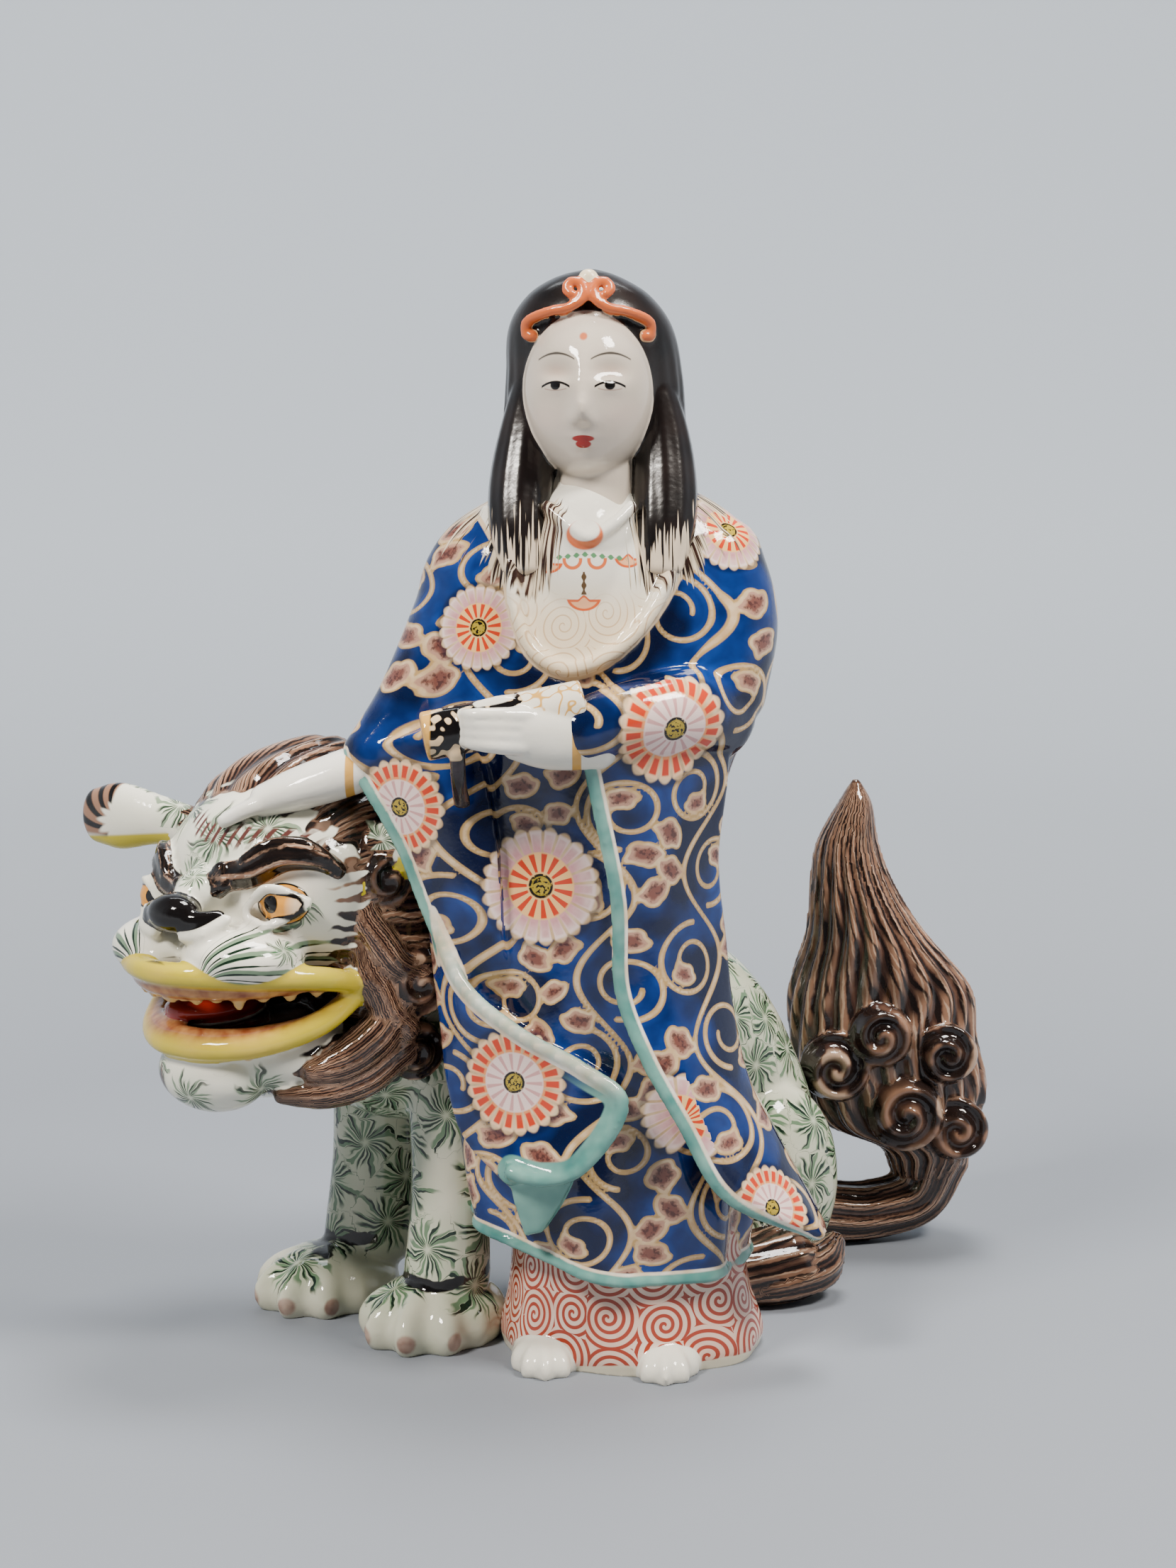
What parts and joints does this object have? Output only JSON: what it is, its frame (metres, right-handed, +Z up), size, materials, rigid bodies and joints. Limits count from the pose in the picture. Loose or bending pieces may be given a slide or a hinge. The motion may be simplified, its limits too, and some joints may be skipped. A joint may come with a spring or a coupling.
{
  "type": "porcelain bodhisattva figurine",
  "caption": "Glazed porcelain figurine of a standing robed bodhisattva whose hand rests on the head of a seated guardian lion.",
  "frame": {"origin": "middle of the bounding box in plan, on the surface that the figurine stands on", "axes": "+Z up, the bodhisattva faces -Y, and the lion's head is on the -X side"},
  "size_m": [0.2524, 0.158, 0.276],
  "materials": {
    "glazed_porcelain": "glossy glaze over painted enamels in blue, cream, red, green, brown and gold"
  },
  "bodies": {
    "root": {"figurine": "glazed_porcelain"}
  },
  "joints": []
}
